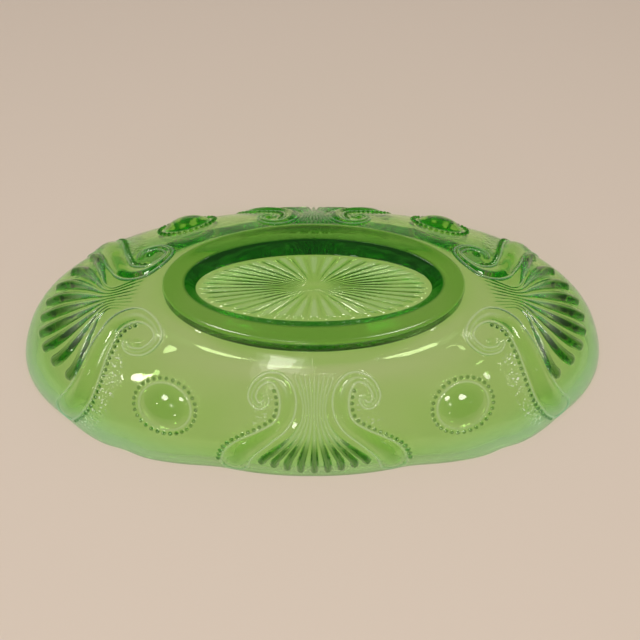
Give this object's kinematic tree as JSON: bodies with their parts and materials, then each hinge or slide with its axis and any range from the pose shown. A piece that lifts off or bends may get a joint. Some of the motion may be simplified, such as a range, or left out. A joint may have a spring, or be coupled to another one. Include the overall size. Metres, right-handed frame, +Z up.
{
  "type": "pressed glass oval dish",
  "caption": "Shallow oval serving dish of transparent green uranium glass with a milky scalloped rim, pressed fans, scrolls and cabochons, on an oval foot ring.",
  "frame": {"origin": "centre of the mouth's plane, on the surface that the dish lies on mouth down", "axes": "+X along the long axis, +Y across it, +Z up from the mouth to the foot: the dish is modelled upside down, and in use it is turned half a turn about X"},
  "size_m": [0.2598, 0.129, 0.05],
  "materials": {
    "green_glass": "clear yellow-green glass, fire-polished, with fine stippling beside the bead rows",
    "opalescent_rim": "milky blue-green opalescent glass that fades into the clear green body"
  },
  "bodies": {
    "root": {"base_star_panel": "green_glass", "foot_ring": "green_glass", "fan_right_end": "green_glass", "scroll_right_end_ahead": "green_glass", "scroll_right_end_behind": "green_glass", "fan_back_side": "green_glass", "scroll_back_side_ahead": "green_glass", "scroll_back_side_behind": "green_glass", "fan_left_end": "green_glass", "scroll_left_end_ahead": "green_glass", "scroll_left_end_behind": "green_glass", "fan_front_side": "green_glass", "scroll_front_side_ahead": "green_glass", "scroll_front_side_behind": "green_glass", "panel_back_right": "green_glass", "jewel_back_right": "green_glass", "panel_back_left": "green_glass", "jewel_back_left": "green_glass", "panel_front_left": "green_glass", "jewel_front_left": "green_glass", "panel_front_right": "green_glass", "jewel_front_right": "green_glass", "rim_right_end": "opalescent_rim", "rim_back_side": "opalescent_rim", "rim_left_end": "opalescent_rim", "rim_front_side": "opalescent_rim", "rim_back_right": "opalescent_rim", "rim_back_left": "opalescent_rim", "rim_front_left": "opalescent_rim", "rim_front_right": "opalescent_rim"}
  },
  "joints": []
}
